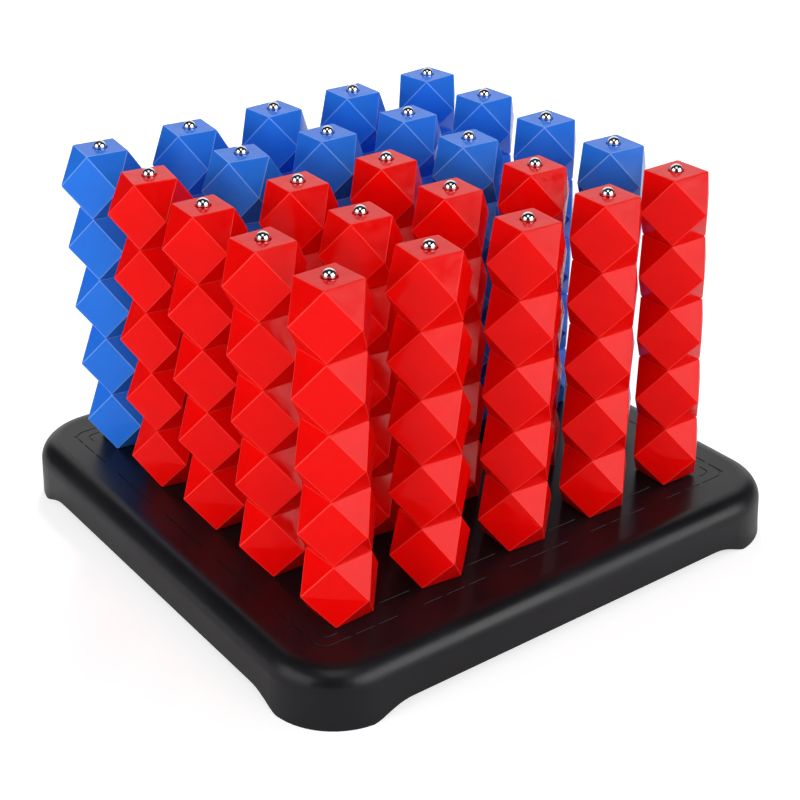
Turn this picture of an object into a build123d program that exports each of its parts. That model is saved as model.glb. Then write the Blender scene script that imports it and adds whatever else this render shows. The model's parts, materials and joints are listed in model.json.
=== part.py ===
from build123d import *
import math
import os

# Four-in-a-row game: a black moulded tray, 5 x 5 steel rods standing in it, and five
# faceted beads threaded on every rod. Millimetres, Z up, origin at the tray's middle
# under its feet. Row 1 is the row at -Y, column 1 the column at -X.

# Grid of rods
rows = 5
beads_on_rod = 5

# Beads: square top and bottom, four diamond faces, eight triangles, all edges rounded
bead_across = 19.9
bead_height = 20.85
bead_edge_radius = 0.6
bead_gap = 0.1
bore_clearance = 0.3

# Gap between the beads of neighbouring rods when they stand corner to corner
column_gap = 4.35

# Turn of each column of beads about its rod, in degrees from the tray's diagonal, by row
# and then by column, as the beads were left
column_turns = [
    [3, -7, -4, -2, -2],
    [0, -6, -3, -3, -4],
    [-3, -2, 0, -4, 1],
    [-11, -10, 0, 0, 1],
    [-8, -7, 3, -2, 6],
]

# Rods
rod_radius = 2.0
rod_shoulder_above_bead = 0.3

# Rods that lean: how far the shoulder stands off in x and y, by row and column from 0
rod_leans = {
    (0, 2): (1.4, -1.0),
    (0, 4): (-2.6, 2.2),
}

# Tray, moulded shell on four corner feet
tray_margin = 29.2
tray_height = 18.8
tray_corner_radius = 23.0
tray_draft = 3.0
tray_top_fillet = 7.0
tray_wall = 2.6
foot_length = 20.2
foot_curve_length = 13.5
foot_curve_slope = 0.25
arch_rise = 3.8

# Bosses under the tray's top, which hold the rods
boss_wall = 2.35
boss_depth = 12.0
boss_floor = 1.5

# Fine grooves moulded in the tray's top
groove_depth = 0.25
groove_width = 0.45
groove_offset_side = 15.2
groove_offset_front = 12.5
groove_corner_radius = 4.0
dash_length = 6.6
dash_gap = 1.6
link_inset = 8.3
link_length = 11.0
bracket_size = 9.0
bracket_step = 3.6
bracket_count = 3

# Places that follow from the sizes above
rod_pitch = bead_across * math.sqrt(2) + column_gap
grid_half = rod_pitch * (rows - 1) / 2
tray_half = grid_half + tray_margin
bead_step = bead_height + bead_gap
stack_top = tray_height + beads_on_rod * bead_step
boss_radius = rod_radius + boss_wall
boss_bottom = tray_height - boss_depth
rod_bottom = boss_bottom + boss_floor
rod_shoulder = stack_top + rod_shoulder_above_bead
rod_rise = rod_shoulder - tray_height
rod_depth = tray_height - rod_bottom
bead_bore_radius = rod_radius + bore_clearance
bead_end_reach = bead_across / 2 - bead_edge_radius
groove_half_x = grid_half + groove_offset_side
groove_half_y = grid_half + groove_offset_front
overshoot = 1.0


def grid_position(index):
    """Distance of a row or column of rods from the tray's middle."""
    return index * rod_pitch - grid_half


def grid_places():
    """Row and column of every rod."""
    return [(row, column) for row in range(rows) for column in range(rows)]


def rod_lean(row, column):
    """How far a rod's shoulder stands off in x and y."""
    return rod_leans.get((row, column), (0.0, 0.0))


def rod_frame(row, column):
    """Frame of a rod, with its origin in the tray's top and its Z along the rod."""
    lean_x, lean_y = rod_lean(row, column)
    foot = Plane(
        origin=(grid_position(column), grid_position(row), tray_height),
        x_dir=(rod_rise, 0.0, -lean_x),
        z_dir=(lean_x, lean_y, rod_rise),
    )
    return foot.location


def drafted_block(half, corner_radius, height, top_fillet):
    """Rounded square block that narrows upwards, with a soft edge round its top."""
    outline = RectangleRounded(2 * half, 2 * half, corner_radius)
    block = extrude(outline, amount=height, taper=tray_draft)
    rim = block.faces().sort_by(Axis.Z)[-1].edges()
    return fillet(rim, top_fillet)


def arch_profile():
    """Side view of the shallow arch between two feet, in the XZ plane."""
    foot_end = tray_half - foot_length
    flat_end = foot_end - foot_curve_length
    left_curve = Spline(
        (-foot_end, 0.0),
        (-flat_end, arch_rise),
        tangents=((1.0, foot_curve_slope), (1.0, 0.0)),
    )
    flat = Line((-flat_end, arch_rise), (flat_end, arch_rise))
    right_curve = Spline(
        (flat_end, arch_rise),
        (foot_end, 0.0),
        tangents=((1.0, 0.0), (1.0, -foot_curve_slope)),
    )
    below = Polyline(
        (foot_end, 0.0),
        (foot_end, -overshoot),
        (-foot_end, -overshoot),
        (-foot_end, 0.0),
    )
    return make_face(left_curve + flat + right_curve + below)


def arch_cutters():
    """Two bars that cut the arches of opposite sides."""
    length = 2 * tray_half + 2 * overshoot
    bar = extrude(Plane.XZ * arch_profile(), amount=length / 2, both=True)
    return [bar, Rot(0, 0, 90) * bar]


def groove_ring(inset, corner_radius):
    """Fine line along a rounded rectangle, inset from the outermost line."""
    width = 2 * (groove_half_x - inset)
    depth = 2 * (groove_half_y - inset)
    outer = RectangleRounded(
        width + groove_width, depth + groove_width, corner_radius + groove_width / 2
    )
    inner = RectangleRounded(
        width - groove_width, depth - groove_width, corner_radius - groove_width / 2
    )
    return outer - inner


def frame_dashes():
    """Three dashes opposite each rod, along all four sides."""
    dashes = []
    for index in range(rows):
        for step in (-1, 0, 1):
            place = grid_position(index) + step * (dash_length + dash_gap)
            for side in (-1, 1):
                across = Pos(place, side * groove_half_y)
                along = Pos(side * groove_half_x, place)
                dashes.append(across * Rectangle(dash_length, groove_width))
                dashes.append(along * Rectangle(groove_width, dash_length))
    return dashes


def link_dashes():
    """One longer dash between each two rods, on a line nearer to the rods."""
    dashes = []
    for index in range(rows - 1):
        place = grid_position(index) + rod_pitch / 2
        for side in (-1, 1):
            across = Pos(place, side * (groove_half_y - link_inset))
            along = Pos(side * (groove_half_x - link_inset), place)
            dashes.append(across * Rectangle(link_length, groove_width))
            dashes.append(along * Rectangle(groove_width, link_length))
    return dashes


def corner_brackets():
    """Nested brackets in each corner of the outermost line."""
    brackets = []
    for step in range(bracket_count):
        inset = step * bracket_step
        ring = groove_ring(inset, groove_corner_radius / (step + 1))
        for side_x in (-1, 1):
            for side_y in (-1, 1):
                corner = Pos(side_x * (groove_half_x - inset), side_y * (groove_half_y - inset))
                brackets.append(ring & corner * Rectangle(bracket_size, bracket_size))
    return brackets


def grooves():
    """All fine lines as shallow cutters in the tray's top."""
    floor = Pos(0, 0, tray_height - groove_depth)
    cutters = []
    for line in frame_dashes() + link_dashes() + corner_brackets():
        for face in line.faces():
            cutters.append(extrude(floor * face, amount=groove_depth + overshoot, dir=(0, 0, 1)))
    return cutters


def tray_bosses():
    """Posts under the top, one for each rod."""
    top = tray_height - tray_wall / 2
    post = Cylinder(boss_radius, top - boss_bottom, align=(Align.CENTER, Align.CENTER, Align.MIN))
    return [
        Pos(grid_position(column), grid_position(row), boss_bottom) * post
        for row, column in grid_places()
    ]


def rod_sockets():
    """Blind holes that the rods are pressed into."""
    hole = Cylinder(
        rod_radius, rod_depth + overshoot, align=(Align.CENTER, Align.CENTER, Align.MIN)
    )
    lowered = Pos(0, 0, -rod_depth) * hole
    return [rod_frame(row, column) * lowered for row, column in grid_places()]


def base_tray():
    """Moulded shell with arched sides, corner feet, bosses and sockets."""
    outer = drafted_block(tray_half, tray_corner_radius, tray_height, tray_top_fillet)
    hollow = drafted_block(
        tray_half - tray_wall,
        tray_corner_radius - tray_wall,
        tray_height - tray_wall,
        tray_top_fillet - tray_wall,
    )
    shell = outer - hollow - arch_cutters()
    held = shell + tray_bosses()
    return held - rod_sockets() - grooves()


def rod():
    """Straight rod with a round tip, in its own frame."""
    length = rod_depth + rod_rise
    shaft = Cylinder(rod_radius, length, align=(Align.CENTER, Align.CENTER, Align.MIN))
    tip = Pos(0, 0, rod_rise) * Sphere(rod_radius)
    return Pos(0, 0, -rod_depth) * shaft + tip


def rod_row(row):
    """The rods of one row."""
    single = rod()
    return Compound(children=[rod_frame(row, column) * single for column in range(rows)])


def faceted_body(half, half_height):
    """Sharp body with square ends, four diamond sides and eight triangles."""
    waist = half * math.sqrt(2)
    upper = []
    middle = []
    lower = []
    for quarter in range(4):
        angle = math.radians(90 * quarter)
        x = half * math.cos(angle)
        y = half * math.sin(angle)
        upper.append(Vector(x, y, half_height))
        lower.append(Vector(x, y, -half_height))
        angle = math.radians(90 * quarter + 45)
        middle.append(Vector(waist * math.cos(angle), waist * math.sin(angle), 0))
    outlines = [upper, lower[::-1]]
    for this in range(4):
        after = (this + 1) % 4
        before = (this - 1) % 4
        outlines.append([upper[this], middle[before], lower[this], middle[this]])
        outlines.append([upper[this], middle[this], upper[after]])
        outlines.append([lower[this], lower[after], middle[this]])
    faces = [Face(Wire.make_polygon(points, close=True)) for points in outlines]
    return Solid(Shell(faces))


def bead():
    """One bead with rounded edges and a bore along Z, middle at the origin."""
    half = bead_end_reach
    half_height = bead_height / 2 - bead_edge_radius
    sharp = faceted_body(half, half_height)
    rounded = offset(sharp, amount=bead_edge_radius, kind=Kind.ARC)
    return rounded - Cylinder(bead_bore_radius, bead_height + overshoot)


def column_turn(row, column):
    """Turn of a column's beads; a larger grid repeats the turns."""
    turns = column_turns[row % len(column_turns)]
    return turns[column % len(turns)]


def lowest_gap(row, column):
    """Gap under a column of beads, widened where a leaning bead stands on its edge."""
    lean = math.hypot(*rod_lean(row, column))
    return bead_gap + bead_end_reach * lean / math.hypot(lean, rod_rise)


def bead_place(row, column, level):
    """Place of a bead on its rod; at no turn a diamond faces along the tray's diagonal."""
    z = lowest_gap(row, column) + level * bead_step + bead_height / 2
    turned = Rot(0, 0, 45 + column_turn(row, column))
    return rod_frame(row, column) * Pos(0, 0, z) * turned


def lower_stack(single, row, column):
    """The beads under the top bead of one rod, one above the other."""
    levels = range(beads_on_rod - 1)
    return Compound(children=[bead_place(row, column, level) * single for level in levels])


def top_bead(single, row, column):
    """The uppermost bead of one rod."""
    return bead_place(row, column, beads_on_rod - 1) * single


def main():
    os.makedirs("parts", exist_ok=True)
    export_step(base_tray(), "parts/base_tray.step")
    single = bead()
    for row in range(rows):
        export_step(rod_row(row), f"parts/rods_row_{row + 1}.step")
        for column in range(rows):
            place = f"r{row + 1}c{column + 1}"
            export_step(lower_stack(single, row, column), f"parts/stack_{place}.step")
            export_step(top_bead(single, row, column), f"parts/top_{place}.step")


main()
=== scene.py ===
"""Four-in-a-row game: faceted beads on chromed rods in a glossy black tray, on a pale floor.

Everything is in metres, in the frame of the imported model: +Z up, the origin in the middle of
the tray's feet, rows of rods along X and columns of rods along Y.
"""

import json
import logging
import math
from dataclasses import dataclass, field
from enum import Enum
from typing import ClassVar

import bpy
from mathutils import Matrix, Vector


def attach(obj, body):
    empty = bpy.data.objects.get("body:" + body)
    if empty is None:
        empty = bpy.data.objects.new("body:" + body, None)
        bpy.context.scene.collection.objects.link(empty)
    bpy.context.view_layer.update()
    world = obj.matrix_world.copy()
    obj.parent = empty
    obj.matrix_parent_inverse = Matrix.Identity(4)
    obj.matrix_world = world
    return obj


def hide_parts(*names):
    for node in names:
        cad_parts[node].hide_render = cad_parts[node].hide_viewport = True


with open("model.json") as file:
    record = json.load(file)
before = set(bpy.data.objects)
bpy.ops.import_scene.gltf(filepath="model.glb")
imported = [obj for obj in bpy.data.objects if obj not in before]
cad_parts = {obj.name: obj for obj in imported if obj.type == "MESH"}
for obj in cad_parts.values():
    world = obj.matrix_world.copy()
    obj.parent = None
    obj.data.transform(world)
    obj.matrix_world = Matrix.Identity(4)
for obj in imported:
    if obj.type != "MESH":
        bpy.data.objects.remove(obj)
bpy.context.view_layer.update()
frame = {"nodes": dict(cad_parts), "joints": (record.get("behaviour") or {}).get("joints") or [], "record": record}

MM = 0.001
GRID = 5
BEADS_ON_ROD = 5
ABS_IOR = 1.54
WHITE = "#ffffff"

log = logging.getLogger("four_in_a_row")


def linear(hex_colour: str) -> tuple[float, float, float, float]:
    """Turn an sRGB hex colour into the linear colour that a shader takes.

    Args:
        hex_colour: six hex digits after a hash, as a paint chart gives them.

    Returns:
        Red, green, blue and an alpha of one.
    """
    channels = [int(hex_colour[start:start + 2], 16) / 255 for start in (1, 3, 5)]
    red, green, blue = (
        value / 12.92 if value <= 0.04045 else ((value + 0.055) / 1.055) ** 2.4
        for value in channels
    )
    return red, green, blue, 1.0


def add_node(
    tree: bpy.types.NodeTree,
    kind: str,
    inputs: dict[str | int, object] | None = None,
    **settings: object,
) -> bpy.types.Node:
    """Add one node with its settings, its input values and the links into it.

    Args:
        tree: tree that gets the node.
        kind: the node's type, as Blender names it.
        inputs: for an input's name or number, either a value or the output to link from.
        settings: the node's own properties.

    Returns:
        The new node.
    """
    node = tree.nodes.new(kind)
    for name, value in settings.items():
        setattr(node, name, value)
    for name, value in (inputs or {}).items():
        if isinstance(value, bpy.types.NodeSocket):
            tree.links.new(value, node.inputs[name])
        else:
            node.inputs[name].default_value = value
    return node


def blank_material(name: str) -> bpy.types.Material:
    """Make a material with an empty tree.

    Args:
        name: name of the material.

    Returns:
        The new material.
    """
    made = bpy.data.materials.new(name)
    made.use_nodes = True
    made.node_tree.nodes.clear()
    return made


def direction(azimuth: float, elevation: float) -> Vector:
    """Point from the object towards a place in the studio.

    Args:
        azimuth: turn from +X, in degrees.
        elevation: height above the horizon, in degrees.

    Returns:
        A vector of length one.
    """
    turned, raised = math.radians(azimuth), math.radians(elevation)
    flat = math.cos(raised)
    return Vector((flat * math.cos(turned), flat * math.sin(turned), math.sin(raised)))


class BeadColour(Enum):
    """Colour of a bead, by the record's material slot."""

    RED = "bead_red"
    BLUE = "bead_blue"


class BeadSet(Enum):
    """Which beads of a rod a piece holds."""

    LOWER = "stack"
    TOP = "top"


@dataclass(frozen=True)
class MouldedBeadAbs:
    """Glossy ABS of the beads, injection-moulded in a polished steel mould.

    The polished mould gives the eye a saturated, even colour under a clear gloss. Mirrored
    things look slightly bent, because the faces sank a little as the plastic cooled. Upright
    flow marks cloud the gloss in places. The rounded edges get a paler colour, which is a
    painted highlight standing for the light that the edges catch.

    Attributes:
        name: name of the material.
        colour: colour of the flat faces.
        deep: slightly darker colour of the swirls in the melt.
        edge: painted highlight, a paler colour along the rounded edges.
        clear: roughness of the skin between the flow marks.
        clouded: roughness of the skin in the flow marks.
        specular: strength of the gloss.
        swirl_size: size of the swirls.
        swirl_bend: how far the swirls are drawn out of round.
        mark_width: width of a flow mark.
        mark_stretch: length of a flow mark, as a multiple of its width.
        mark_range: values of the pattern at which a flow mark starts and is full.
        sink_size: size of the shallow sinks.
        sink_depth: depth of the shallow sinks.
    """

    name: str
    colour: str
    deep: str
    edge: str
    clear: float = 0.09
    clouded: float = 0.25
    specular: float = 0.12
    swirl_size: float = 11 * MM
    swirl_bend: float = 0.8
    mark_width: float = 2.4 * MM
    mark_stretch: float = 5.0
    mark_range: tuple[float, float] = (0.3, 0.75)
    sink_size: float = 6 * MM
    sink_depth: float = 0.17 * MM

    def material(self) -> bpy.types.Material:
        """Make the material.

        Returns:
            The material, which reads the beads' "rounding" attribute to paint a highlight on the rounded edges.
        """
        made = blank_material(self.name)
        tree = made.node_tree
        place = add_node(tree, "ShaderNodeTexCoord").outputs["Object"]
        swirl = add_node(
            tree,
            "ShaderNodeTexNoise",
            {
                "Vector": place,
                "Scale": 1 / self.swirl_size,
                "Detail": 3.0,
                "Distortion": self.swirl_bend,
            },
        )
        mixed = add_node(
            tree,
            "ShaderNodeMix",
            {0: swirl.outputs["Fac"], 6: linear(self.colour), 7: linear(self.deep)},
            data_type="RGBA",
        )
        # Painted highlight: the rounded edges are mixed towards the paler edge colour.
        painted_highlight_mask = add_node(tree, "ShaderNodeAttribute", attribute_name=Shell.ROUNDING)
        highlighted_colour = add_node(
            tree,
            "ShaderNodeMix",
            {0: painted_highlight_mask.outputs["Fac"], 6: mixed.outputs[2], 7: linear(self.edge)},
            data_type="RGBA",
        )
        stretched = add_node(
            tree,
            "ShaderNodeMapping",
            {"Vector": place, "Scale": (1.0, 1.0, 1 / self.mark_stretch)},
        )
        marks = add_node(
            tree,
            "ShaderNodeTexNoise",
            {"Vector": stretched.outputs[0], "Scale": 1 / self.mark_width, "Detail": 4.0},
        )
        gloss = add_node(
            tree,
            "ShaderNodeMapRange",
            {
                "Value": marks.outputs["Fac"],
                "From Min": self.mark_range[0],
                "From Max": self.mark_range[1],
                "To Min": self.clear,
                "To Max": self.clouded,
            },
        )
        sinks = add_node(
            tree,
            "ShaderNodeTexNoise",
            {"Vector": place, "Scale": 1 / self.sink_size, "Detail": 1.6},
        )
        bump = add_node(
            tree,
            "ShaderNodeBump",
            {"Height": sinks.outputs["Fac"], "Strength": 1.0, "Distance": self.sink_depth},
        )
        shader = add_node(
            tree,
            "ShaderNodeBsdfPrincipled",
            {
                "Base Color": highlighted_colour.outputs[2],
                "Roughness": gloss.outputs[0],
                "Normal": bump.outputs[0],
                "IOR": ABS_IOR,
                "Specular IOR Level": self.specular,
            },
        )
        add_node(tree, "ShaderNodeOutputMaterial", {"Surface": shader.outputs[0]})
        return made


@dataclass(frozen=True)
class MouldedTrayAbs:
    """Black ABS of the tray, injection-moulded in a mould with a fine satin grain.

    The grain gives the eye a near-black surface whose reflections are soft but still clear
    enough to show the beads, and handling has left it a little duller and greyer in patches.
    The walls of the fine grooves catch the light as pale dashes. A real grain of this kind is
    about 0.1 mm, which is too fine to show in a view of the whole tray, so it is drawn at
    0.35 mm.

    Attributes:
        name: name of the material.
        colour: colour of the clean plastic.
        dusty: colour of the handled patches.
        clean: roughness of the clean plastic.
        handled: roughness of the handled patches.
        handling_range: values of the pattern at which handling starts and is full.
        specular: strength of the gloss.
        top: height of the tray's top.
        groove_depth: depth below the top in which a steep wall belongs to a groove.
        steep: upward share of the normal below which a wall is steep.
        grain_size: size of the grain.
        grain_depth: depth of the grain.
        grain_strength: share of the grain's depth that shades.
        handling_size: size of the handled patches.
        handling_bend: how far the patches are drawn out of round.
    """

    name: str = "moulded_abs_black"
    colour: str = "#0d0d10"
    dusty: str = "#17171b"
    clean: float = 0.28
    handled: float = 0.4
    handling_range: tuple[float, float] = (0.3, 0.7)
    specular: float = 0.25
    top: float = 18.8 * MM
    groove_depth: float = 0.3 * MM
    steep: float = 0.3
    grain_size: float = 0.35 * MM
    grain_depth: float = 0.02 * MM
    grain_strength: float = 0.1
    handling_size: float = 26 * MM
    handling_bend: float = 0.5

    def material(self) -> bpy.types.Material:
        """Make the material.

        Returns:
            The material.
        """
        made = blank_material(self.name)
        tree = made.node_tree
        place = add_node(tree, "ShaderNodeTexCoord").outputs["Object"]
        handling = add_node(
            tree,
            "ShaderNodeTexNoise",
            {
                "Vector": place,
                "Scale": 1 / self.handling_size,
                "Detail": 5.0,
                "Distortion": self.handling_bend,
            },
        )
        colour = add_node(
            tree,
            "ShaderNodeMix",
            {0: handling.outputs["Fac"], 6: linear(self.colour), 7: linear(self.dusty)},
            data_type="RGBA",
        )
        gloss = add_node(
            tree,
            "ShaderNodeMapRange",
            {
                "Value": handling.outputs["Fac"],
                "From Min": self.handling_range[0],
                "From Max": self.handling_range[1],
                "To Min": self.clean,
                "To Max": self.handled,
            },
        )
        grain = add_node(
            tree,
            "ShaderNodeTexNoise",
            {"Vector": place, "Scale": 1 / self.grain_size, "Detail": 2.0},
        )
        bump = add_node(
            tree,
            "ShaderNodeBump",
            {
                "Height": grain.outputs["Fac"],
                "Strength": self.grain_strength,
                "Distance": self.grain_depth,
                "Normal": self.sloped_grooves(tree, place),
            },
        )
        shader = add_node(
            tree,
            "ShaderNodeBsdfPrincipled",
            {
                "Base Color": colour.outputs[2],
                "Roughness": gloss.outputs[0],
                "Normal": bump.outputs[0],
                "IOR": ABS_IOR,
                "Specular IOR Level": self.specular,
            },
        )
        add_node(tree, "ShaderNodeOutputMaterial", {"Surface": shader.outputs[0]})
        return made

    def sloped_grooves(
        self, tree: bpy.types.NodeTree, place: bpy.types.NodeSocket
    ) -> bpy.types.NodeSocket:
        """Shade the steep walls of the fine grooves as slopes, which catch the soft boxes.

        Args:
            tree: tree that gets the nodes.
            place: output that gives the place on the tray.

        Returns:
            The output that gives the normal.
        """
        height = add_node(tree, "ShaderNodeSeparateXYZ", {0: place}).outputs["Z"]
        facing = add_node(tree, "ShaderNodeNewGeometry").outputs["True Normal"]
        tilt = add_node(tree, "ShaderNodeSeparateXYZ", {0: facing}).outputs["Z"]
        steep = add_node(tree, "ShaderNodeMath", {0: tilt, 1: self.steep}, operation="LESS_THAN")
        high = add_node(
            tree,
            "ShaderNodeMath",
            {0: height, 1: self.top - self.groove_depth},
            operation="GREATER_THAN",
        )
        wall = add_node(
            tree,
            "ShaderNodeMath",
            {0: steep.outputs[0], 1: high.outputs[0]},
            operation="MULTIPLY",
        )
        rise = add_node(
            tree, "ShaderNodeMath", {0: height, 1: wall.outputs[0]}, operation="MULTIPLY"
        )
        return add_node(
            tree,
            "ShaderNodeBump",
            {"Height": rise.outputs[0], "Strength": 1.0, "Distance": 1.0},
            invert=True,
        ).outputs[0]


@dataclass(frozen=True)
class ChromedSteel:
    """Chrome-plated steel of the rods, polished while it turns.

    The polish gives the eye a bright mirror with a cool tint, which hairlines that run round
    the rod blur a little in narrow bands. Real hairlines are a few hundredths of a millimetre
    wide, which is too fine to show, so they are drawn at 0.15 mm.

    Attributes:
        name: name of the material.
        colour: colour of the plating.
        clear: roughness between the hairlines.
        brushed: roughness in the hairlines.
        hairline_size: size of the pattern before it is stretched and squeezed.
        round_stretch: how many times longer it is made round the rod.
        height_squeeze: how many times narrower it is made along the rod.
    """

    name: str = "chromed_steel"
    colour: str = "#e2e3e6"
    clear: float = 0.025
    brushed: float = 0.105
    hairline_size: float = 0.6 * MM
    round_stretch: float = 10.0
    height_squeeze: float = 4.0

    def material(self) -> bpy.types.Material:
        """Make the material.

        Returns:
            The material.
        """
        made = blank_material(self.name)
        tree = made.node_tree
        place = add_node(tree, "ShaderNodeTexCoord").outputs["Object"]
        level = 1 / self.round_stretch
        flattened = add_node(
            tree,
            "ShaderNodeMapping",
            {"Vector": place, "Scale": (level, level, self.height_squeeze)},
        )
        hairlines = add_node(
            tree,
            "ShaderNodeTexNoise",
            {"Vector": flattened.outputs[0], "Scale": 1 / self.hairline_size, "Detail": 3.0},
        )
        gloss = add_node(
            tree,
            "ShaderNodeMapRange",
            {
                "Value": hairlines.outputs["Fac"],
                "To Min": self.clear,
                "To Max": self.brushed,
            },
        )
        shader = add_node(
            tree,
            "ShaderNodeBsdfPrincipled",
            {
                "Base Color": linear(self.colour),
                "Metallic": 1.0,
                "Roughness": gloss.outputs[0],
            },
        )
        add_node(tree, "ShaderNodeOutputMaterial", {"Surface": shader.outputs[0]})
        return made


@dataclass
class Shell:
    """Points and faces of a closed mesh while it is built, with a normal for each corner.

    Attributes:
        ROUNDING: name of the attribute that tells a material where the mesh is rounded.
        places: place of each point.
        rounding: zero for a point of a flat face and one for a point on a rounded edge.
        faces: numbers of each face's points, counter-clockwise from outside.
        normals: normals of each face, one for each of its points.
    """

    ROUNDING: ClassVar[str] = "rounding"

    places: list[Vector] = field(default_factory=list)
    rounding: list[float] = field(default_factory=list)
    faces: list[list[int]] = field(default_factory=list)
    normals: list[list[Vector]] = field(default_factory=list)

    def add_point(self, place: Vector, rounded: float = 0.0) -> int:
        """Add a point.

        Args:
            place: its place.
            rounded: how rounded the surface is there, from zero to one.

        Returns:
            Its number.
        """
        self.places.append(place)
        self.rounding.append(rounded)
        return len(self.places) - 1

    def add_face(self, points: list[int], normals: list[Vector]) -> None:
        """Add a face.

        Args:
            points: numbers of its points, counter-clockwise from outside.
            normals: a normal for each of the points.
        """
        self.faces.append(points)
        self.normals.append(normals)

    def mesh(self, name: str) -> bpy.types.Mesh:
        """Make the mesh.

        Args:
            name: name of the mesh.

        Returns:
            A mesh with its own normals, and with the rounding as an attribute of its points.
        """
        made = bpy.data.meshes.new(name)
        made.from_pydata(self.places, [], self.faces)
        made.shade_smooth()
        made.normals_split_custom_set([tuple(normal) for ring in self.normals for normal in ring])
        attribute = made.attributes.new(self.ROUNDING, "FLOAT", "POINT")
        attribute.data.foreach_set("value", self.rounding)
        return made


@dataclass
class SharpBody:
    """A body with flat faces and sharp edges.

    Attributes:
        corners: places of the corners.
        outlines: numbers of each face's corners, counter-clockwise from outside.
    """

    corners: list[Vector]
    outlines: list[tuple[int, ...]]

    def facing(self) -> list[Vector]:
        """Work out which way each face looks.

        Returns:
            The faces' normals.
        """
        normals = []
        for outline in self.outlines:
            first, second, third = (self.corners[corner] for corner in outline[:3])
            normals.append((second - first).cross(third - first).normalized())
        return normals

    def edges(self) -> list[tuple[int, int, int, int]]:
        """List every edge once.

        Returns:
            For each edge its start, its end, the face that has it in this sense, and the
            face on its other side.
        """
        beside = {
            (outline[step], outline[(step + 1) % len(outline)]): face
            for face, outline in enumerate(self.outlines)
            for step in range(len(outline))
        }
        return [
            (start, end, this, beside[end, start])
            for (start, end), this in beside.items()
            if this < beside[end, start]
        ]

    def faces_round(self, corner: int) -> list[int]:
        """Find the faces that meet at a corner.

        Args:
            corner: number of the corner.

        Returns:
            Numbers of the faces, counter-clockwise from outside.
        """
        entering: dict[int, int] = {}
        leaving: dict[int, int] = {}
        for face, outline in enumerate(self.outlines):
            if corner in outline:
                step = outline.index(corner)
                entering[face] = outline[step - 1]
                leaving[outline[(step + 1) % len(outline)]] = face
        order = [next(iter(entering))]
        while len(order) < len(entering):
            order.append(leaving[entering[order[-1]]])
        return order


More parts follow.
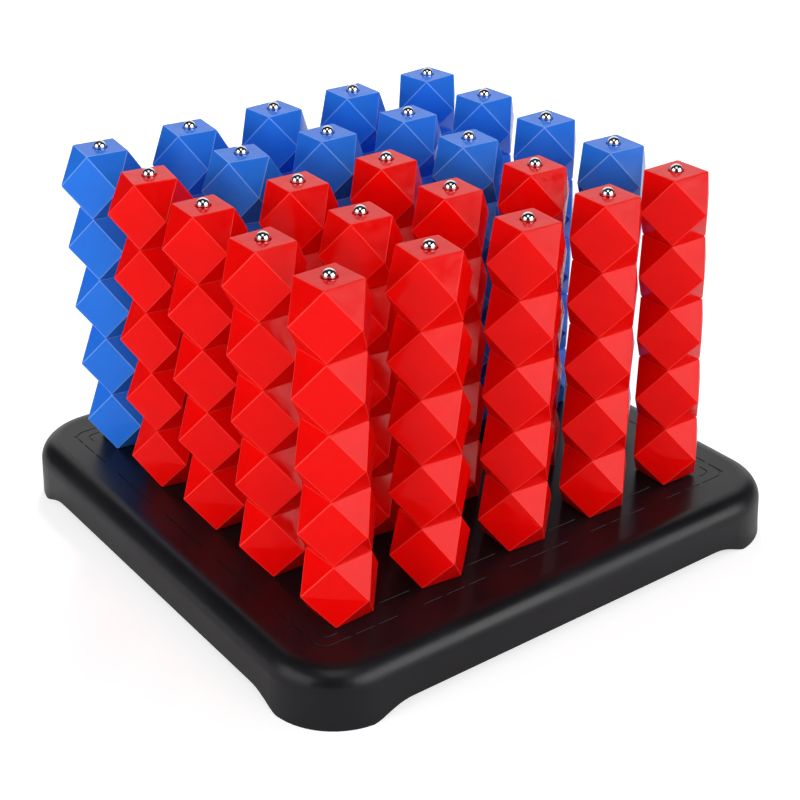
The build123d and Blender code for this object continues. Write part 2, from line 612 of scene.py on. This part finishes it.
@dataclass
class Bead:
    """One faceted bead: square ends, four folded diamonds, eight triangles, soft edges.

    It is built as a sharp inner body whose faces, edges and corners are moved out by the
    radius of the edges, so that flat faces stay flat and every edge is a true round.

    Attributes:
        SIDES: number of diamonds round the bead.
        ENDS: number of each square end's face, and which way along Z it looks.
        across: width over two opposite diamonds at half height.
        height: height between the square ends.
        edge_radius: radius of the rounded edges.
        edge_steps: number of flat strips that make up a rounded edge.
        draft: lean of each half of a diamond, which lets the mould open, in degrees.
        fold: angle between two faces up to which their edge stays sharp, in degrees.
        bore_radius: radius of the bore.
        bore_steps: number of flat strips that make up the bore's wall, four or a multiple.
        chamfer: width of the bevel at both ends of the bore.
    """

    SIDES: ClassVar[int] = 4
    ENDS: ClassVar[tuple[tuple[int, float], ...]] = ((0, 1.0), (1, -1.0))

    across: float = 19.9 * MM
    height: float = 20.85 * MM
    edge_radius: float = 0.6 * MM
    edge_steps: int = 2
    draft: float = 2.0
    fold: float = 5.0
    bore_radius: float = 2.3 * MM
    bore_steps: int = 24
    chamfer: float = 0.25 * MM

    def corners(self) -> list[Vector]:
        """Place the corners of the sharp inner body.

        Returns:
            Four upper corners, four lower ones and four at half height.
        """
        half = self.across / 2 - self.edge_radius
        rise = self.height / 2 - self.edge_radius
        drawn_in = half - rise * math.tan(math.radians(self.draft))
        waist = half * math.sqrt(2)
        places = []
        for level in (rise, -rise):
            for quarter in range(self.SIDES):
                angle = math.radians(90 * quarter)
                places.append(
                    Vector((drawn_in * math.cos(angle), drawn_in * math.sin(angle), level))
                )
        for quarter in range(self.SIDES):
            angle = math.radians(90 * quarter + 45)
            places.append(Vector((waist * math.cos(angle), waist * math.sin(angle), 0.0)))
        return places

    def outlines(self) -> list[tuple[int, ...]]:
        """List the faces of the sharp inner body.

        Returns:
            Numbers of each face's corners, counter-clockwise from outside. The two square
            ends come first, and each diamond is two triangles.
        """
        lower, waist = self.SIDES, 2 * self.SIDES
        faces: list[tuple[int, ...]] = [(0, 1, 2, 3), (7, 6, 5, 4)]
        for quarter in range(self.SIDES):
            after = (quarter + 1) % self.SIDES
            before = (quarter - 1) % self.SIDES
            faces.append((quarter, waist + before, waist + quarter))
            faces.append((lower + quarter, waist + quarter, waist + before))
            faces.append((quarter, waist + quarter, after))
            faces.append((lower + quarter, lower + after, waist + quarter))
        return faces

    def mesh(self) -> bpy.types.Mesh:
        """Build the bead.

        Returns:
            A closed mesh with its middle at the origin and its bore along Z.
        """
        body = SharpBody(self.corners(), self.outlines())
        shell = Shell()
        flat = self.add_flats(shell, body)
        arcs = self.add_edges(shell, body, flat)
        self.add_corners(shell, body, arcs)
        self.add_bore(shell, flat)
        return shell.mesh("bead")

    def add_flats(self, shell: Shell, body: SharpBody) -> dict[tuple[int, int], int]:
        """Add the points of all flat faces, and the faces except the two square ends.

        Args:
            shell: shell that gets the points and faces.
            body: the sharp inner body.

        Returns:
            The points, by face and corner.
        """
        facing = body.facing()
        flat = {
            (face, corner): shell.add_point(body.corners[corner] + self.edge_radius * facing[face])
            for face, outline in enumerate(body.outlines)
            for corner in outline
        }
        for face, outline in enumerate(body.outlines):
            if face >= len(self.ENDS):
                ring = [flat[face, corner] for corner in outline]
                shell.add_face(ring, [facing[face]] * len(ring))
        return flat

    def add_edges(
        self, shell: Shell, body: SharpBody, flat: dict[tuple[int, int], int]
    ) -> dict[tuple[int, int, int], list[tuple[int, Vector]]]:
        """Add the rounded edges.

        Args:
            shell: shell that gets the faces.
            body: the sharp inner body.
            flat: points of the flat faces, by face and corner.

        Returns:
            The points and normals round the end of each edge, by corner and the faces
            from which and to which they run.
        """
        facing = body.facing()
        arcs: dict[tuple[int, int, int], list[tuple[int, Vector]]] = {}
        for start, end, this, other in body.edges():
            folded = facing[this].angle(facing[other]) < math.radians(self.fold)
            steps = 1 if folded else self.edge_steps
            rows = []
            for corner in (start, end):
                row = [(flat[this, corner], facing[this])]
                for step in range(1, steps):
                    normal = facing[this].slerp(facing[other], step / steps)
                    place = body.corners[corner] + self.edge_radius * normal
                    row.append((shell.add_point(place, 1.0), normal))
                row.append((flat[other, corner], facing[other]))
                arcs[corner, this, other] = row
                arcs[corner, other, this] = row[::-1]
                rows.append(row)
            for step in range(steps):
                ring = [rows[1][step], rows[0][step], rows[0][step + 1], rows[1][step + 1]]
                shell.add_face([point for point, _ in ring], [normal for _, normal in ring])
        return arcs

    def add_corners(
        self,
        shell: Shell,
        body: SharpBody,
        arcs: dict[tuple[int, int, int], list[tuple[int, Vector]]],
    ) -> None:
        """Add the rounded corners, each as a fan from its middle.

        Args:
            shell: shell that gets the faces.
            body: the sharp inner body.
            arcs: points and normals round the end of each edge.
        """
        facing = body.facing()
        for corner, middle in enumerate(body.corners):
            around = body.faces_round(corner)
            rim: list[tuple[int, Vector]] = []
            for step, face in enumerate(around):
                rim += arcs[corner, face, around[(step + 1) % len(around)]][:-1]
            top = sum((facing[face] for face in around), Vector()).normalized()
            peak = shell.add_point(middle + self.edge_radius * top, 1.0)
            for step, (point, normal) in enumerate(rim):
                following, turned = rim[(step + 1) % len(rim)]
                shell.add_face([peak, point, following], [top, normal, turned])

    def add_bore(self, shell: Shell, flat: dict[tuple[int, int], int]) -> None:
        """Add the square ends with their round openings, the bevels and the bore's wall.

        Args:
            shell: shell that gets the faces.
            flat: points of the flat faces, by face and corner.
        """
        angles = [math.radians(360 * step / self.bore_steps) for step in range(self.bore_steps)]
        outward = [Vector((math.cos(angle), math.sin(angle), 0.0)) for angle in angles]
        half = self.height / 2
        mouth = self.bore_radius + self.chamfer
        walls = []
        for end, side in self.ENDS:
            up = Vector((0.0, 0.0, side))
            rim = [shell.add_point(mouth * out + half * up) for out in outward]
            wall = [
                shell.add_point(self.bore_radius * out + (half - self.chamfer) * up)
                for out in outward
            ]
            walls.append(wall)
            self.add_end(shell, end, side, rim, flat)
            for step in range(self.bore_steps):
                after = (step + 1) % self.bore_steps
                ring = [rim[step], rim[after], wall[after], wall[step]]
                slopes = [(up - outward[at]).normalized() for at in (step, after, after, step)]
                if side < 0:
                    ring, slopes = ring[::-1], slopes[::-1]
                shell.add_face(ring, slopes)
        upper, lower = walls
        for step in range(self.bore_steps):
            after = (step + 1) % self.bore_steps
            shell.add_face(
                [upper[step], upper[after], lower[after], lower[step]],
                [-outward[step], -outward[after], -outward[after], -outward[step]],
            )

    def add_end(
        self,
        shell: Shell,
        end: int,
        side: float,
        rim: list[int],
        flat: dict[tuple[int, int], int],
    ) -> None:
        """Add a square end as four faces round its opening.

        Args:
            shell: shell that gets the faces.
            end: number of the end's face in the sharp body.
            side: one for the upper end and minus one for the lower end.
            rim: points of the opening.
            flat: points of the flat faces, by face and corner.
        """
        up = Vector((0.0, 0.0, side))
        quarter = self.bore_steps // self.SIDES
        for corner in range(self.SIDES):
            first = corner * quarter
            arc = [rim[(first + step) % self.bore_steps] for step in range(quarter, -1, -1)]
            this = end * self.SIDES + corner
            following = end * self.SIDES + (corner + 1) % self.SIDES
            ring = [flat[end, this], flat[end, following], *arc]
            shell.add_face(ring if side > 0 else ring[::-1], [up] * len(ring))


def repeat_tree(name: str) -> bpy.types.NodeTree:
    """Make the Geometry Nodes tree that repeats a piece along a straight line.

    Args:
        name: name of the tree.

    Returns:
        A tree with the inputs Count, Start, Step, Turn and Material.
    """
    tree = bpy.data.node_groups.new(name, "GeometryNodeTree")
    face = tree.interface
    face.new_socket("Geometry", in_out="INPUT", socket_type="NodeSocketGeometry")
    face.new_socket("Count", in_out="INPUT", socket_type="NodeSocketInt")
    face.new_socket("Start", in_out="INPUT", socket_type="NodeSocketVector")
    face.new_socket("Step", in_out="INPUT", socket_type="NodeSocketVector")
    face.new_socket("Turn", in_out="INPUT", socket_type="NodeSocketFloat")
    face.new_socket("Material", in_out="INPUT", socket_type="NodeSocketMaterial")
    face.new_socket("Geometry", in_out="OUTPUT", socket_type="NodeSocketGeometry")
    given = add_node(tree, "NodeGroupInput").outputs
    line = add_node(
        tree,
        "GeometryNodeMeshLine",
        {"Count": given["Count"], "Start Location": given["Start"], "Offset": given["Step"]},
        mode="OFFSET",
    )
    turn = add_node(tree, "ShaderNodeCombineXYZ", {"Z": given["Turn"]})
    copies = add_node(
        tree,
        "GeometryNodeInstanceOnPoints",
        {
            "Points": line.outputs["Mesh"],
            "Instance": given["Geometry"],
            "Rotation": turn.outputs["Vector"],
        },
    )
    real = add_node(
        tree, "GeometryNodeRealizeInstances", {"Geometry": copies.outputs["Instances"]}
    )
    dressed = add_node(
        tree,
        "GeometryNodeSetMaterial",
        {"Geometry": real.outputs["Geometry"], "Material": given["Material"]},
    )
    add_node(tree, "NodeGroupOutput", {"Geometry": dressed.outputs["Geometry"]})
    return tree


@dataclass
class Repeater:
    """Runs the repeating tree on a mesh and gives back a plain piece.

    Attributes:
        tree: the repeating tree.
    """

    tree: bpy.types.NodeTree

    def piece(
        self,
        name: str,
        source: bpy.types.Mesh,
        count: int,
        start: Vector,
        step: Vector,
        turn: float,
        material: bpy.types.Material,
    ) -> bpy.types.Object:
        """Repeat a mesh along a line.

        Args:
            name: name of the new piece.
            source: mesh that is repeated, around the origin.
            count: number of copies.
            start: place of the first copy.
            step: way from one copy to the next.
            turn: turn of every copy about Z, in radians.
            material: material of the piece.

        Returns:
            An object at the origin with a plain mesh.
        """
        holder = bpy.data.objects.new(name, source)
        bpy.context.collection.objects.link(holder)
        modifier = holder.modifiers.new("repeat", "NODES")
        modifier.node_group = self.tree
        values = {
            "Count": count,
            "Start": start,
            "Step": step,
            "Turn": turn,
            "Material": material,
        }
        for item in self.tree.interface.items_tree:
            if item.in_out == "INPUT" and item.name in values:
                modifier[item.identifier] = values[item.name]
        seen = bpy.context.evaluated_depsgraph_get()
        plain = bpy.data.meshes.new_from_object(holder.evaluated_get(seen))
        plain.name = name
        holder.modifiers.remove(modifier)
        holder.data = plain
        return holder


def rod_frame(label: str) -> Matrix:
    """Read the frame of a rod from the joint about which its beads turn.

    Args:
        label: name of the rod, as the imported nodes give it.

    Returns:
        The frame, whose Z runs up the rod and whose X lies over the model's X.
    """
    joint = next(entry for entry in frame["joints"] if entry["name"] == f"spin_{label}")
    along = Vector(joint["axis"]).normalized()
    across = Vector((along.z, 0.0, -along.x)).normalized()
    turned = Matrix((across, along.cross(across), along)).transposed().to_4x4()
    return Matrix.Translation(joint["pos_m"]) @ turned


def points_from(stand: Matrix, node: str) -> list[Vector]:
    """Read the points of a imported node, seen from a rod's frame.

    Args:
        stand: frame of the rod.
        node: name of the node.

    Returns:
        The node's points.
    """
    inward = stand.inverted()
    return [inward @ vertex.co for vertex in frame["nodes"][node].data.vertices]


def body_of_node(node: str) -> str:
    """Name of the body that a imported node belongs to."""
    bodies = frame["record"]["behaviour"]["bodies"]
    return next(body for body, nodes in bodies.items() if node in nodes)


@dataclass
class Column:
    """The beads of one rod.

    Attributes:
        row: number of the row, from the front.
        place: number of the column of rods, from the left.
        tolerance: depth below the top within which a point belongs to the upper face.
    """

    row: int
    place: int
    tolerance: float = 0.01 * MM

    def label(self) -> str:
        """Name of the rod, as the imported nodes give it."""
        return f"r{self.row}c{self.place}"

    def colour(self) -> BeadColour:
        """Colour of the beads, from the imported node's material slot."""
        node = frame["nodes"][f"top_{self.label()}"]
        return BeadColour(node.material_slots[0].material.name.split(".")[0])

    def points(self, node: str) -> list[Vector]:
        """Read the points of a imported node, seen from the rod's frame.

        Args:
            node: name of the node.

        Returns:
            The node's points.
        """
        return points_from(rod_frame(self.label()), node)

    def turn(self) -> float:
        """Read the turn of the beads about their rod from the top bead's upper face.

        Returns:
            The turn in radians, less than a quarter turn.
        """
        corners = self.points(f"top_{self.label()}")
        height = max(corner.z for corner in corners)
        upper = [corner for corner in corners if corner.z > height - self.tolerance]
        farthest = max(upper, key=lambda corner: corner.xy.length)
        return math.atan2(farthest.y, farthest.x) % (math.pi / 2)

    def build(
        self,
        bead: bpy.types.Mesh,
        repeater: Repeater,
        finishes: dict[BeadColour, bpy.types.Material],
    ) -> None:
        """Build the lower beads and the top bead as two pieces.

        Args:
            bead: mesh of one bead.
            repeater: maker of repeated pieces.
            finishes: materials by bead colour.
        """
        for part in BeadSet:
            self.build_part(part, bead, repeater, finishes[self.colour()])

    def build_part(
        self,
        part: BeadSet,
        bead: bpy.types.Mesh,
        repeater: Repeater,
        material: bpy.types.Material,
    ) -> None:
        """Build either the lower beads or the top bead.

        Args:
            part: which beads.
            bead: mesh of one bead.
            repeater: maker of repeated pieces.
            material: material of the beads.
        """
        node = f"{part.value}_{self.label()}"
        levels = [point.z for point in self.points(node)]
        top_levels = [point.z for point in self.points(f"top_{self.label()}")]
        height = max(top_levels) - min(top_levels)
        count = BEADS_ON_ROD - 1 if part is BeadSet.LOWER else 1
        spacing = (max(levels) - min(levels) - height) / (count - 1) if count > 1 else 0.0
        start = Vector((0.0, 0.0, min(levels) + height / 2))
        step = Vector((0.0, 0.0, spacing))
        piece = repeater.piece(f"beads_{node}", bead, count, start, step, self.turn(), material)
        piece.data.transform(rod_frame(self.label()))
        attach(piece, body_of_node(node))
        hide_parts(node)
        self.colour().value
        log.info("%s: %d beads, %s", piece.name, count, self.colour().name.lower())


@dataclass
class Rod:
    """One straight rod with a round tip.

    Attributes:
        sides: number of flat strips round the rod.
        tip_steps: number of rings that make up the round tip.
        sharp_angle: angle between two faces from which their edge is sharp, in degrees.
    """

    sides: int = 32
    tip_steps: int = 8
    sharp_angle: float = 50.0

    def mesh(self, radius: float, length: float) -> bpy.types.Mesh:
        """Build a rod on the Z axis, with its flat end at the origin.

        Args:
            radius: radius of the rod and of its tip.
            length: length over the tip.

        Returns:
            A closed, smooth mesh.
        """
        profile = [(radius, 0.0), (radius, length / 2)]
        for step in range(self.tip_steps):
            angle = math.pi / 2 * step / self.tip_steps
            profile.append((radius * math.cos(angle), length - radius + radius * math.sin(angle)))
        ends = [Vector((0.0, 0.0, 0.0)), Vector((0.0, 0.0, length))]
        places = list(ends)
        for out, height in profile:
            for side in range(self.sides):
                angle = 2 * math.pi * side / self.sides
                places.append(Vector((out * math.cos(angle), out * math.sin(angle), height)))
        rings = [
            [len(ends) + level * self.sides + side for side in range(self.sides)]
            for level in range(len(profile))
        ]
        faces = []
        for side in range(self.sides):
            after = (side + 1) % self.sides
            faces.append([0, rings[0][after], rings[0][side]])
            faces.append([1, rings[-1][side], rings[-1][after]])
            for lower, upper in zip(rings, rings[1:]):
                faces.append([lower[side], lower[after], upper[after], upper[side]])
        made = bpy.data.meshes.new("rod")
        made.from_pydata(places, [], faces)
        made.shade_smooth()
        made.set_sharp_from_angle(angle=math.radians(self.sharp_angle))
        return made


@dataclass
class RodRow:
    """The five rods of one row, each of which stands in its own frame, because some lean.

    Attributes:
        row: number of the row, from the front.
        spread: spacing at which the rods are first made, before each is stood in its frame.
    """

    row: int
    spread: float = 10 * MM

    def own_points(self, node: str, stand: Matrix) -> list[Vector]:
        """Read the points of one rod of a packed row, seen from the rod's frame.

        Args:
            node: name of the row's node.
            stand: frame of the rod.

        Returns:
            The points that lie close to the frame's Z.
        """
        return [point for point in points_from(stand, node) if point.xy.length < self.spread]

    def build(self, repeater: Repeater, material: bpy.types.Material) -> None:
        """Build the row as one piece.

        Args:
            repeater: maker of repeated pieces.
            material: material of the rods.
        """
        node = f"rods_row_{self.row}"
        stands = [rod_frame(f"r{self.row}c{place + 1}") for place in range(GRID)]
        reaches = [self.own_points(node, stand) for stand in stands]
        radius = max(point.xy.length for point in reaches[0])
        levels = [point.z for point in reaches[0]]
        rod = Rod().mesh(radius, max(levels) - min(levels))
        step = Vector((self.spread, 0.0, 0.0))
        piece = repeater.piece(f"rods_{self.row}", rod, GRID, Vector(), step, 0.0, material)
        share = len(piece.data.vertices) // GRID
        for place, stand in enumerate(stands):
            raised = Vector((0.0, 0.0, min(point.z for point in reaches[place])))
            moved = stand @ Matrix.Translation(raised - place * step)
            for vertex in piece.data.vertices[place * share:(place + 1) * share]:
                vertex.co = moved @ vertex.co
        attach(piece, body_of_node(node))
        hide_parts(node)
        log.info("%s: %d rods", piece.name, GRID)


@dataclass
class Tray:
    """The moulded tray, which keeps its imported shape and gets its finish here.

    Attributes:
        finish: the tray's material.
    """

    finish: MouldedTrayAbs = MouldedTrayAbs()

    def build(self) -> None:
        """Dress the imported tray."""
        node = frame["nodes"]["base_tray"]
        node.material_slots[0].material = self.finish.material()
        log.info("base_tray: dressed as moulded ABS")


@dataclass
class Lamp:
    """A soft box that lights the object; what gloss mirrors of it is a card of its own.

    Attributes:
        name: name of the lamp.
        azimuth: direction it stands in, in degrees from +X.
        elevation: its height above the horizon, in degrees.
        power: its power in watts.
        distance: its distance from the object's middle.
        side: length of its square side.
    """

    name: str
    azimuth: float
    elevation: float
    power: float
    distance: float = 1.3
    side: float = 0.9

    def build(self, target: Vector) -> None:
        """Hang the lamp and aim it.

        Args:
            target: point that the lamp faces.
        """
        way = direction(self.azimuth, self.elevation)
        data = bpy.data.lights.new(self.name, "AREA")
        data.shape = "SQUARE"
        data.size = self.side
        data.energy = self.power
        lamp = bpy.data.objects.new(self.name, data)
        lamp.location = target + way * self.distance
        lamp.rotation_mode = "QUATERNION"
        lamp.rotation_quaternion = way.to_track_quat("Z", "Y")
        lamp.visible_camera = False
        lamp.visible_glossy = False
        bpy.context.collection.objects.link(lamp)
        log.info("%s: %.1f W", self.name, self.power)


@dataclass
class Card:
    """A card that only gloss sees: a black flag, or a bright panel or screen.

    Attributes:
        name: name of the card.
        azimuth: direction it stands in, in degrees from +X.
        elevation: height of its middle above the horizon, in degrees.
        distance: its distance from the object's middle.
        width: its level side.
        height: its other side.
        brightness: how bright it is mirrored, where one is white.
    """

    name: str
    azimuth: float
    elevation: float
    distance: float
    width: float
    height: float
    brightness: float

    def build(self, target: Vector) -> None:
        """Hang the card so that it faces the object.

        Args:
            target: point that the card faces.
        """
        way = direction(self.azimuth, self.elevation)
        level = Vector((0.0, 0.0, 1.0)).cross(way).normalized() * self.width / 2
        upward = way.cross(level).normalized() * self.height / 2
        middle = target + way * self.distance
        corners = [
            middle + across * level + along * upward
            for across, along in ((-1, -1), (1, -1), (1, 1), (-1, 1))
        ]
        mesh = bpy.data.meshes.new(self.name)
        mesh.from_pydata(corners, [], [(0, 1, 2, 3)])
        cloth = blank_material(self.name)
        glow = add_node(
            cloth.node_tree,
            "ShaderNodeEmission",
            {"Color": linear(WHITE), "Strength": self.brightness},
        )
        add_node(cloth.node_tree, "ShaderNodeOutputMaterial", {"Surface": glow.outputs[0]})
        mesh.materials.append(cloth)
        card = bpy.data.objects.new(self.name, mesh)
        card.visible_camera = False
        card.visible_diffuse = False
        card.visible_shadow = False
        card.visible_transmission = False
        bpy.context.collection.objects.link(card)
        log.info("%s: brightness %.2f", self.name, self.brightness)


@dataclass
class Studio:
    """Pale floor, white surroundings, soft boxes, cards and the camera.

    Attributes:
        middle: point that the lamps and cards face.
        floor_side: length of the square floor's side.
        paper: colour of the floor.
        paper_glow: brightness that is added to the floor near the object, for the camera and
            gloss only.
        paper_glow_in_gloss: share of the added brightness that gloss mirrors.
        fade_start: distance from the object at which the floor starts to fade to white.
        fade_end: distance from the object at which it is white.
        ambient: strength of the even light.
        camera_azimuth: direction the camera stands in, in degrees from +X.
        camera_elevation: its height above the horizon, in degrees.
        camera_roll: its turn about its own axis, in degrees.
        camera_place: its place.
        lens: its focal length in millimetres.
        sensor: width of its sensor in millimetres.
        clip_start: distance in front of it from which things are seen.
        lamps: the soft boxes.
        cards: the flags, the panels and the screen.
    """

    middle: tuple[float, float, float] = (0.0, 0.0, 0.06)
    floor_side: float = 8.0
    paper: str = "#d6d6d6"
    paper_glow: float = 0.62
    paper_glow_in_gloss: float = 0.25
    fade_start: float = 0.35
    fade_end: float = 1.5
    ambient: float = 0.12
    camera_azimuth: float = -125.89
    camera_elevation: float = 27.79
    camera_roll: float = -0.72
    camera_place: tuple[float, float, float] = (-0.27563, -0.38659, 0.28949)
    lens: float = 72.46
    sensor: float = 36.0
    clip_start: float = 0.01
    lamps: tuple[Lamp, ...] = (
        Lamp("softbox_right", -87.0, 18.0, 6.2),
        Lamp("softbox_far_right", -40.0, 20.0, 5.0),
        Lamp("softbox_left", 177.0, 5.0, 12.2),
        Lamp("softbox_left_high", -162.0, 36.0, 2.6),
        Lamp("fill_front", -126.0, 22.0, 3.4),
        Lamp("softbox_back", 54.0, 44.0, 9.5, side=0.35),
    )
    cards: tuple[Card, ...] = (
        Card("panel_right", -70.0, 21.0, 1.6, 1.56, 0.94, 4.6),
        Card("panel_left", 176.0, 22.0, 1.6, 1.5, 0.9, 2.2),
        Card("panel_over", -126.0, 64.0, 1.6, 0.8, 0.9, 1.6),
        Card("screen_back", 54.0, 27.0, 1.7, 2.85, 1.8, 1.1),
        Card("flag_camera", -126.0, 22.0, 2.0, 2.7, 1.78, 0.02),
        Card("flag_over", 54.0, 89.0, 2.2, 5.0, 5.0, 0.02),
        Card("flag_left", 122.0, 22.0, 1.9, 2.0, 1.85, 0.02),
        Card("flag_right", -14.0, 22.0, 1.9, 2.0, 1.85, 0.02),
    )

    def build_camera(self) -> None:
        """Place the camera at the photograph's viewing angle."""
        back = direction(self.camera_azimuth, self.camera_elevation)
        right = (-back).cross(Vector((0.0, 0.0, 1.0))).normalized()
        up = back.cross(right)
        axes = Matrix((right, up, back)).transposed()
        data = bpy.data.cameras.new("camera")
        data.lens = self.lens
        data.sensor_width = self.sensor
        data.clip_start = self.clip_start
        camera = bpy.data.objects.new("camera", data)
        placed = Matrix.Translation(self.camera_place) @ axes.to_4x4()
        camera.matrix_world = placed @ Matrix.Rotation(math.radians(self.camera_roll), 4, "Z")
        bpy.context.collection.objects.link(camera)
        bpy.context.scene.camera = camera

    def white_to_view(self, tree: bpy.types.NodeTree) -> bpy.types.NodeSocket:
        """Give one to rays that see a surface straight, in gloss or through it, and else zero.

        Args:
            tree: tree that gets the nodes.

        Returns:
            The output to link from.
        """
        path = add_node(tree, "ShaderNodeLightPath").outputs
        seen = add_node(
            tree,
            "ShaderNodeMath",
            {0: path["Is Camera Ray"], 1: path["Is Glossy Ray"]},
            operation="MAXIMUM",
        )
        return add_node(
            tree,
            "ShaderNodeMath",
            {0: seen.outputs[0], 1: path["Is Transmission Ray"]},
            operation="MAXIMUM",
        ).outputs[0]

    def build_world(self) -> None:
        """Make the background white to the view, and a weak even light to everything else."""
        world = bpy.data.worlds.new("studio")
        world.use_nodes = True
        tree = world.node_tree
        tree.nodes.clear()
        soft = add_node(
            tree, "ShaderNodeBackground", {"Color": linear(WHITE), "Strength": self.ambient}
        )
        white = add_node(tree, "ShaderNodeBackground", {"Color": linear(WHITE), "Strength": 1.0})
        mixed = add_node(
            tree,
            "ShaderNodeMixShader",
            {0: self.white_to_view(tree), 1: soft.outputs[0], 2: white.outputs[0]},
        )
        add_node(tree, "ShaderNodeOutputWorld", {"Surface": mixed.outputs[0]})
        bpy.context.scene.world = world

    def build_floor(self) -> None:
        """Lay a matt paper floor that keeps the object's shadow and fades to white far away."""
        half = self.floor_side / 2
        mesh = bpy.data.meshes.new("floor")
        mesh.from_pydata(
            [(-half, -half, 0), (half, -half, 0), (half, half, 0), (-half, half, 0)],
            [],
            [(0, 1, 2, 3)],
        )
        made = blank_material("white_paper")
        tree = made.node_tree
        paper = add_node(tree, "ShaderNodeBsdfDiffuse", {"Color": linear(self.paper)})
        place = add_node(tree, "ShaderNodeTexCoord").outputs["Object"]
        distance = add_node(tree, "ShaderNodeVectorMath", {0: place}, operation="LENGTH")
        fading = add_node(
            tree,
            "ShaderNodeMapRange",
            {
                "Value": distance.outputs["Value"],
                "From Min": self.fade_start,
                "From Max": self.fade_end,
                "To Min": self.paper_glow,
                "To Max": 1.0,
            },
        )
        in_gloss = add_node(
            tree,
            "ShaderNodeMapRange",
            {
                "Value": add_node(tree, "ShaderNodeLightPath").outputs["Is Glossy Ray"],
                "To Min": 1.0,
                "To Max": self.paper_glow_in_gloss,
            },
        )
        seen = add_node(
            tree,
            "ShaderNodeMath",
            {0: self.white_to_view(tree), 1: in_gloss.outputs[0]},
            operation="MULTIPLY",
        )
        lift = add_node(
            tree,
            "ShaderNodeMath",
            {0: seen.outputs[0], 1: fading.outputs[0]},
            operation="MULTIPLY",
        )
        glow = add_node(
            tree, "ShaderNodeEmission", {"Color": linear(WHITE), "Strength": lift.outputs[0]}
        )
        both = add_node(tree, "ShaderNodeAddShader", {0: paper.outputs[0], 1: glow.outputs[0]})
        add_node(tree, "ShaderNodeOutputMaterial", {"Surface": both.outputs[0]})
        mesh.materials.append(made)
        floor = bpy.data.objects.new("floor", mesh)
        bpy.context.collection.objects.link(floor)
        log.info("floor: %.1f m square", self.floor_side)

    def build(self) -> None:
        """Build the whole studio."""
        bpy.context.scene.view_settings.view_transform = "Standard"
        self.build_camera()
        self.build_world()
        self.build_floor()
        for piece in (*self.lamps, *self.cards):
            piece.build(Vector(self.middle))


def main() -> None:
    """Build the studio and the object, and report each piece."""
    logging.basicConfig(level=logging.INFO, format="%(message)s")
    Studio().build()
    Tray().build()
    repeater = Repeater(repeat_tree("repeat_along_line"))
    chrome = ChromedSteel().material()
    # The last colour of each bead finish is a painted highlight for the rounded edges.
    red = MouldedBeadAbs("moulded_abs_red", "#ee0804", "#e20505", "#f6362e")
    blue = MouldedBeadAbs("moulded_abs_blue", "#2b79e8", "#2470de", "#76a9f4")
    finishes = {BeadColour.RED: red.material(), BeadColour.BLUE: blue.material()}
    bead = Bead().mesh()
    for row in range(1, GRID + 1):
        RodRow(row).build(repeater, chrome)
        for place in range(1, GRID + 1):
            Column(row, place).build(bead, repeater, finishes)


if __name__ == "__main__":
    main()
